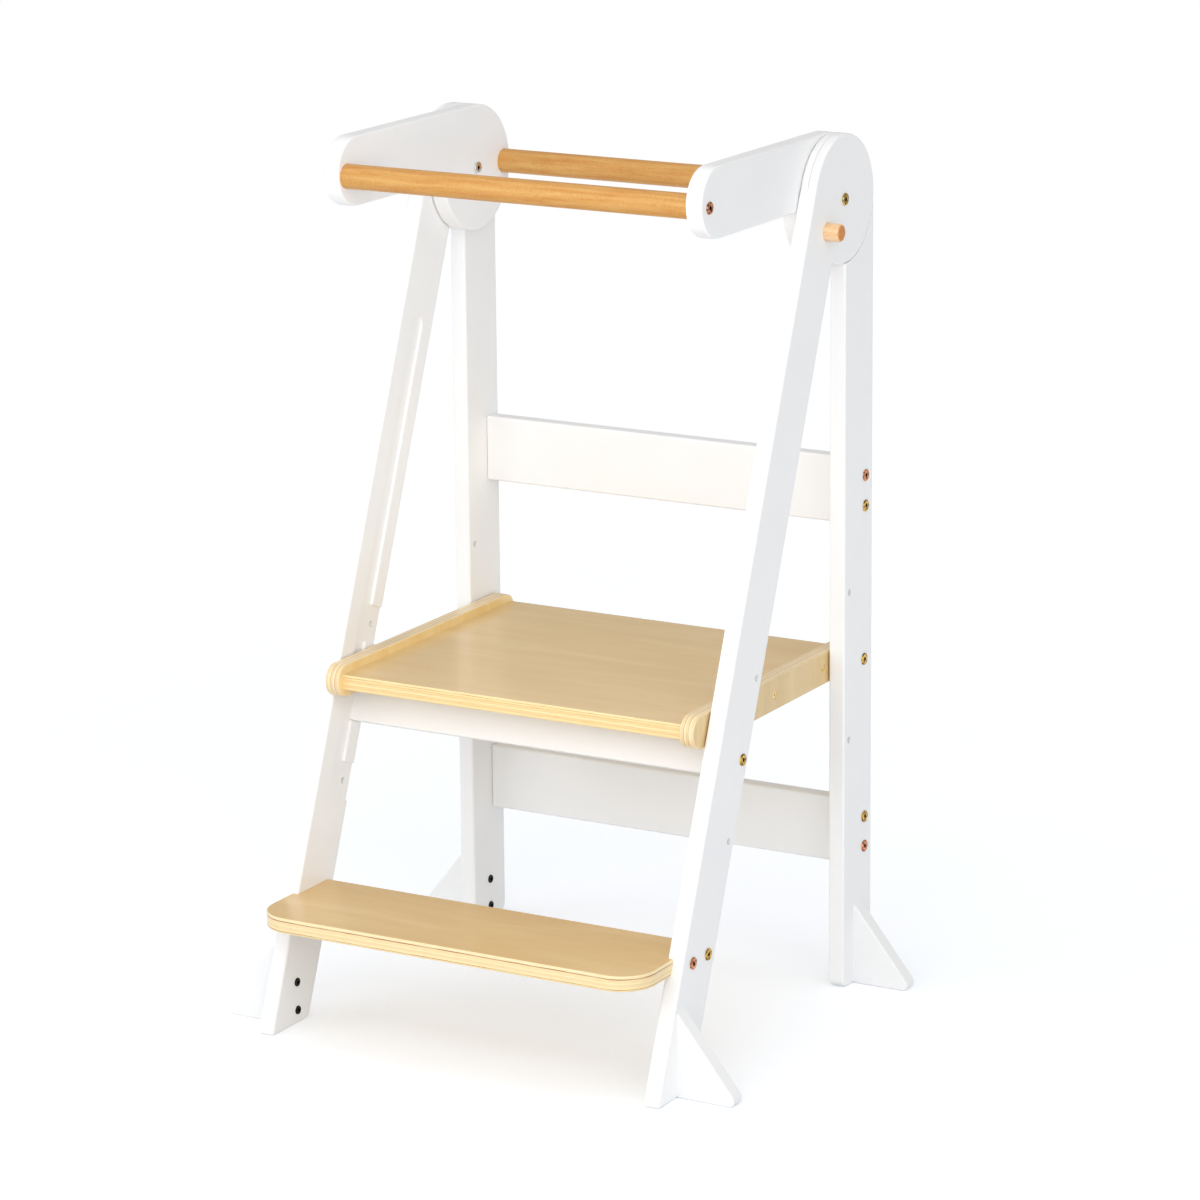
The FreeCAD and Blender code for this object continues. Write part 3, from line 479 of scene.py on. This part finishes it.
# %% [markdown]
# ## The furniture bolts
# Each bolt is a flat head with a rolled rim, a shallow dish round a 4 mm hex socket, and a plain shank that
# disappears into the wood. The platform's screws have the same face on a countersunk head. A bolt is a turned
# part, so its profile is drawn once and spun round its axis; the open middle of the head is then pulled to a
# hexagon and pushed down for the socket. Places and lengths come from the frame's own bolts, so nothing is
# measured twice.

# %% Where the bolts are
SAME_POINT = 0.001 * MM


def solids(node_name):
    """The points of each separate solid of a node."""
    mesh = bmesh.new()
    mesh.from_mesh(nodes[node_name].data)
    bmesh.ops.remove_doubles(mesh, verts=mesh.verts, dist=SAME_POINT)
    left = set(mesh.verts)
    found = []
    while left:
        queue = [left.pop()]
        for vertex in queue:
            near = [edge.other_vert(vertex) for edge in vertex.link_edges]
            near = [other for other in near if other in left]
            left.difference_update(near)
            queue += near
        found.append([vertex.co.copy() for vertex in queue])
    mesh.free()
    return found


def head_places(node_name, outward):
    """For each bolt of a node: the x, y, z of its head's face, and the bolt's whole length."""
    places = []
    for points in solids(node_name):
        low, high = [[pick(point[axis] for point in points) for axis in (X, Y, Z)] for pick in (min, max)]
        head_end = max if outward else min
        x = head_end(low[X], high[X], key=abs)
        places.append((x, (low[Y] + high[Y]) / 2, (low[Z] + high[Z]) / 2, high[X] - low[X]))
    return places


for name in ("back_rail_bolts", "step_bolts", "crossbar_bolts", "pivot_bolts", "platform_screws"):
    print(name, len(head_places(name, True)), "heads")

# %% One bolt
BIG_HEAD = 12.5 * MM
SMALL_HEAD = 9.0 * MM
SCREW_HEAD = 10.0 * MM
HEAD_HEIGHT = 1.4 * MM
SCREW_TAPER = 3.0 * MM
BOLT_RIM = 0.8 * MM
SCREW_RIM = 0.3 * MM
RIM_STEPS = 5
DISH_DEPTH = 0.22 * MM
DISH_SLOPE = 0.4 * MM
HEX_WIDTH = 4.0 * MM
HEX_MARGIN = 0.3 * MM
SOCKET_DEPTH = 2.4 * MM
SCREW_SOCKET_DEPTH = 0.8 * MM
TURNS = 48
M6 = 6.0 * MM
SLEEVE = 10.2 * MM
HINGE_SHANK = 8.0 * MM
SCREW_SHANK = 4.0 * MM


def bolt_profile(head_diameter, shank_diameter, length, taper):
    """Points (x, radius) from the shank's end, round the head, to the open middle of its face."""
    head = head_diameter / 2
    shank = shank_diameter / 2
    under_head = [(-taper, shank)] if taper else [(-HEAD_HEIGHT, shank), (-HEAD_HEIGHT, head)]
    rim = SCREW_RIM if taper else BOLT_RIM
    angles = [math.pi / 2 * step / RIM_STEPS for step in range(RIM_STEPS + 1)]
    rolled_rim = [(-rim + rim * math.sin(angle), head - rim + rim * math.cos(angle)) for angle in angles]
    opening = HEX_WIDTH / math.sqrt(3) + HEX_MARGIN
    dish = [(-DISH_DEPTH, opening + DISH_SLOPE), (-DISH_DEPTH, opening)]
    return [(-length, 0), (-length, shank)] + under_head + rolled_rim + dish


def turned(profile):
    """Spins a profile of (x, radius) points round the X axis."""
    mesh = bmesh.new()
    points = [mesh.verts.new((x, radius, 0)) for x, radius in profile]
    lines = [mesh.edges.new(pair) for pair in zip(points, points[1:])]
    bmesh.ops.spin(mesh, geom=points + lines, cent=(0, 0, 0), axis=(1, 0, 0), angle=2 * math.pi,
                   steps=TURNS, use_merge=True)
    bmesh.ops.remove_doubles(mesh, verts=mesh.verts, dist=SAME_POINT)
    return mesh


def grow(mesh, rim):
    """Extrudes an open rim; returns the new edges, vertices and faces."""
    new = bmesh.ops.extrude_edge_only(mesh, edges=rim)["geom"]
    kinds = (bmesh.types.BMEdge, bmesh.types.BMVert, bmesh.types.BMFace)
    return [[item for item in new if isinstance(item, kind)] for kind in kinds]


def sink_socket(mesh, depth):
    """Closes the open middle of a head with a hex socket, whose faces use material slot 1."""
    hexagon, corners, _ = grow(mesh, [edge for edge in mesh.edges if edge.is_boundary])
    sixth = math.pi / 3
    for vertex in corners:
        angle = math.atan2(vertex.co.z, vertex.co.y)
        radius = HEX_WIDTH / 2 / math.cos((angle + sixth / 2) % sixth - sixth / 2)
        vertex.co = (-DISH_DEPTH, radius * math.cos(angle), radius * math.sin(angle))
    bottom_edge, bottom, walls = grow(mesh, hexagon)
    bmesh.ops.translate(mesh, vec=(-depth, 0, 0), verts=bottom)
    floor = bmesh.ops.contextual_create(mesh, geom=bottom_edge)["faces"]
    for face in walls + floor:
        face.material_index = 1


def make_bolt(head_diameter, shank_diameter, length, taper=0.0):
    """A hex socket bolt along X: its head's face is at x = 0 and it ends at -length.

    taper is the depth of a countersunk head; without it the head is flat underneath.
    """
    mesh = turned(bolt_profile(head_diameter, shank_diameter, length, taper))
    sink_socket(mesh, SCREW_SOCKET_DEPTH if taper else SOCKET_DEPTH)
    bmesh.ops.recalc_face_normals(mesh, faces=mesh.faces)
    return mesh


sample = make_bolt(BIG_HEAD, M6, 20 * MM)
print("a bolt has", len(sample.faces), "faces,", sum(e.is_boundary for e in sample.edges), "open edges")
sample.free()

# %% [markdown]
# The bolts of one group are joined to one piece, which takes the place of the frame's plain bolts and rides
# on the same body. Their faces are smooth, with sharp edges only where the surface really turns.

# %% Putting turned pieces in place
SHARP_ANGLE = math.radians(32)
SOCKETS = {black_steel: black_steel, pale_zinc: pale_zinc}        # every other metal gets the dark socket metal, which is painted shade


def place_in(merged, mesh, x, y, z, direction):
    """Adds a turned piece to merged with its face at x, looking along the sign of direction."""
    spin = Matrix.Rotation(0 if direction > 0 else math.pi, 4, "Z")
    bmesh.ops.transform(mesh, matrix=Matrix.Translation((x, y, z)) @ spin, verts=mesh.verts)
    data = bpy.data.meshes.new("turned_piece")
    mesh.to_mesh(data)
    mesh.free()
    merged.from_mesh(data)
    bpy.data.meshes.remove(data)


def finish_piece(name, merged, body, materials):
    """Makes the joined mesh a smooth object that rides on a body."""
    data = bpy.data.meshes.new(name)
    merged.to_mesh(data)
    merged.free()
    data.polygons.foreach_set("use_smooth", [True] * len(data.polygons))
    data.set_sharp_from_angle(angle=SHARP_ANGLE)
    piece = bpy.data.objects.new(name, data)
    bpy.context.scene.collection.objects.link(piece)
    give(piece, *materials)
    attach(piece, body)
    return piece


def place_bolts(name, node_name, body, plating, outward=True, head=BIG_HEAD, shank=M6, taper=0.0):
    """Replaces a node's bolts. plating is one metal, or a rule that picks it from (y, z)."""
    merged = bmesh.new()
    metals = []
    places = head_places(node_name, outward)
    for x, y, z, length in places:
        bolt = make_bolt(head, shank, length, taper)
        metal = plating(y, z) if callable(plating) else plating
        if metal not in metals:
            metals += [metal, SOCKETS.get(metal, painted_shade_socket)]
        for face in bolt.faces:
            face.material_index += metals.index(metal)
        place_in(merged, bolt, x, y, z, x if outward else -x)
    piece = finish_piece(name, merged, body, metals)
    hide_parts(node_name)
    print(name, len(places), "bolts of", round(length / MM, 1), "mm,", len(piece.data.polygons), "faces")


# %% [markdown]
# In the photograph most heads are straw yellow and a few are copper, because the plating bath is never even.
# Two small rules pick the copper ones by their place: the forward bolt of the step, and the outermost bolts
# of the pairs on the back rails.

# %% Which heads are copper
SAME_BOLT = 5 * MM


def step_plating(y, z):
    """Copper for the step's forward bolts."""
    return copper_zinc if abs(y - step_front) < SAME_BOLT else yellow_zinc


def back_rail_plating(y, z):
    """Copper for the highest and the lowest bolts of the back rails."""
    return copper_zinc if min(abs(z - height) for height in copper_heights) < SAME_BOLT else yellow_zinc


step_front = min(y for x, y, z, length in head_places("step_bolts", True))
heights = sorted(z for x, y, z, length in head_places("back_rail_bolts", True))
copper_heights = (heights[0], heights[-1])
print("copper heads on the back rails at", [round(height, 3) for height in copper_heights])

# %% Place the bolts
place_bolts("back_rail_bolt_heads", "back_rail_bolts", "rear_frame", back_rail_plating)
place_bolts("step_bolt_heads", "step_bolts", "front_frame", step_plating)
place_bolts("crossbar_bolt_heads", "crossbar_bolts", "front_frame", yellow_zinc)
place_bolts("pivot_bolt_heads", "pivot_bolts", "rear_frame", yellow_zinc)
place_bolts("pivot_nut_heads", "pivot_sleeve_nuts", "rear_frame", bright_zinc,
            outward=False, shank=SLEEVE)
place_bolts("hinge_bolt_heads", "platform_hinge_bolts", "rear_frame", yellow_zinc,
            shank=HINGE_SHANK)
place_bolts("dowel_bolt_heads", "front_dowel_bolts", "handrail", copper_zinc)
place_bolts("platform_screw_heads", "platform_screws", "platform", pale_zinc,
            head=SCREW_HEAD, shank=SCREW_SHANK, taper=SCREW_TAPER)
place_bolts("rear_foot_bolt_heads", "rear_foot_bolts", "rear_frame", black_steel,
            outward=False, head=SMALL_HEAD)
place_bolts("front_foot_bolt_heads", "front_foot_bolts", "front_frame", black_steel,
            outward=False, head=SMALL_HEAD)

# %% [markdown]
# ## Studio floor and light
# The photograph was taken on white paper, with big soft lamps in front and a dim ceiling. The paper here is a
# plane that keeps the stool's shadow, and it is a little cool, which balances the warm light that the wood
# throws on it. A little emission that only the camera and mirrors see lifts the paper to pure white where no
# shadow falls, so no lamp has to be turned up for it and the paint keeps its own tone.

# %% Floor
PAPER_LIFT = 0.34
PAPER_HALF = 4.0
PAPER_DROP = 0.2 * MM        # just below the feet, so that no two faces share a plane


def white_paper():
    """White paper with a lift that only the camera and mirrors see."""
    material, tree = new_material("white_paper")
    paper = add(tree, "ShaderNodeBsdfDiffuse", {"Color": linear("#E4E8EE")})
    path = add(tree, "ShaderNodeLightPath")
    seen = path.outputs["Is Camera Ray"]
    for kind in ("Is Glossy Ray", "Is Transmission Ray"):
        seen = add(tree, "ShaderNodeMath", {0: seen, 1: path.outputs[kind]}, operation="MAXIMUM")
    strength = add(tree, "ShaderNodeMath", {0: seen, 1: PAPER_LIFT}, operation="MULTIPLY")
    lift = add(tree, "ShaderNodeEmission", {"Color": linear("#FFFFFF"), "Strength": strength})
    both = add(tree, "ShaderNodeAddShader", {0: paper, 1: lift})
    add(tree, "ShaderNodeOutputMaterial", {"Surface": both})
    return material


grid = bmesh.new()
bmesh.ops.create_grid(grid, x_segments=1, y_segments=1, size=PAPER_HALF)
paper_mesh = bpy.data.meshes.new("paper_floor")
grid.to_mesh(paper_mesh)
grid.free()
paper_floor = bpy.data.objects.new("paper_floor", paper_mesh)
paper_floor.location.z = -PAPER_DROP
bpy.context.scene.collection.objects.link(paper_floor)
give(paper_floor, white_paper())
print("paper", 2 * PAPER_HALF, "m wide")

# %% [markdown]
# The white room lights the stool evenly from all sides. On top of it come four broad lamps without an edge to
# their shadows: the key from the right front, which also reaches under the platform, a weak one from the
# front, one overhead and a fill from the left. A softbox close in front hangs between the planes of the legs,
# so it brightens their inner faces but not their outer ones.

# %% Room light and lamps
ROOM_LIGHT = 0.50
PURE_WHITE = 1.0
SOFTBOX_PLACE = Vector((0.2, -1.0, 0.9))
SOFTBOX_TARGET = Vector((0.0, 0.0, 0.45))
SOFTBOX_WIDTH = 0.8
SOFTBOX_POWER = 3.0
world = bpy.data.worlds.new("studio_room")
bpy.context.scene.world = world
world.use_nodes = True
room = world.node_tree
room.nodes.clear()
is_camera = add(room, "ShaderNodeLightPath").outputs["Is Camera Ray"]
strength = add(room, "ShaderNodeMix", {"Factor": is_camera, "A": ROOM_LIGHT, "B": PURE_WHITE})
sky = add(room, "ShaderNodeBackground", {"Color": linear("#FFFFFF"), "Strength": strength})
add(room, "ShaderNodeOutputWorld", {"Surface": sky})


def aim(lamp_object, towards):
    """Turns a lamp so that it shines from the direction towards, and links it."""
    lamp_object.rotation_euler = Vector(towards).to_track_quat("Z", "Y").to_euler()
    bpy.context.scene.collection.objects.link(lamp_object)


def broad_lamp(name, towards, level, spread):
    """Even light from one direction. level 1 lights a face turned to it as brightly as white is."""
    lamp = bpy.data.lights.new(name, "SUN")
    lamp.energy = math.pi * level
    lamp.angle = math.radians(spread)
    aim(bpy.data.objects.new(name, lamp), towards)


broad_lamp("key_right_front", (0.75, -0.60, 0.25), 0.34, 60)
broad_lamp("front", (0.10, -1.00, 0.20), 0.09, 40)
broad_lamp("overhead", (0.0, 0.0, 1.0), 0.15, 50)
broad_lamp("fill_left", (-0.70, -0.50, 0.30), 0.26, 60)
softbox = bpy.data.lights.new("softbox_front", "AREA")
softbox.size = SOFTBOX_WIDTH
softbox.energy = SOFTBOX_POWER
softbox_object = bpy.data.objects.new("softbox_front", softbox)
softbox_object.location = SOFTBOX_PLACE
aim(softbox_object, SOFTBOX_PLACE - SOFTBOX_TARGET)
print("a room, four broad lamps and a softbox")

# %% [markdown]
# ## The camera
# The photograph looks from the right front and a little from above. Its place, its long lens and the small
# shift that puts the stool left of centre were fitted to the stool's own corners. The view's axes are built
# from the angles and then rolled by a fifth of a degree.

# %% Camera
AZIMUTH = math.radians(28.294)
ELEVATION = math.radians(13.606)
ROLL = math.radians(-0.206)
DISTANCE = 4.9962
TARGET = Vector((-0.00017, 0.33247, 0.44615))
back = Vector((math.sin(AZIMUTH) * math.cos(ELEVATION), -math.cos(AZIMUTH) * math.cos(ELEVATION),
               math.sin(ELEVATION)))
level_right = Vector((math.cos(AZIMUTH), math.sin(AZIMUTH), 0))
level_up = back.cross(level_right)
right = math.cos(ROLL) * level_right + math.sin(ROLL) * level_up
up = math.cos(ROLL) * level_up - math.sin(ROLL) * level_right
lens = bpy.data.cameras.new("camera")
lens.sensor_width = 36.0
lens.lens = 139.87
lens.shift_x = -0.0965
lens.shift_y = -0.0684
lens.clip_end = 60.0
camera = bpy.data.objects.new("camera", lens)
camera.matrix_world = Matrix.LocRotScale(
    TARGET + DISTANCE * back, Matrix((right, up, back)).transposed().to_quaternion(), None)
bpy.context.scene.collection.objects.link(camera)
bpy.context.scene.camera = camera
bpy.context.scene.view_settings.view_transform = "Standard"
print("camera at", [round(place, 3) for place in camera.location])
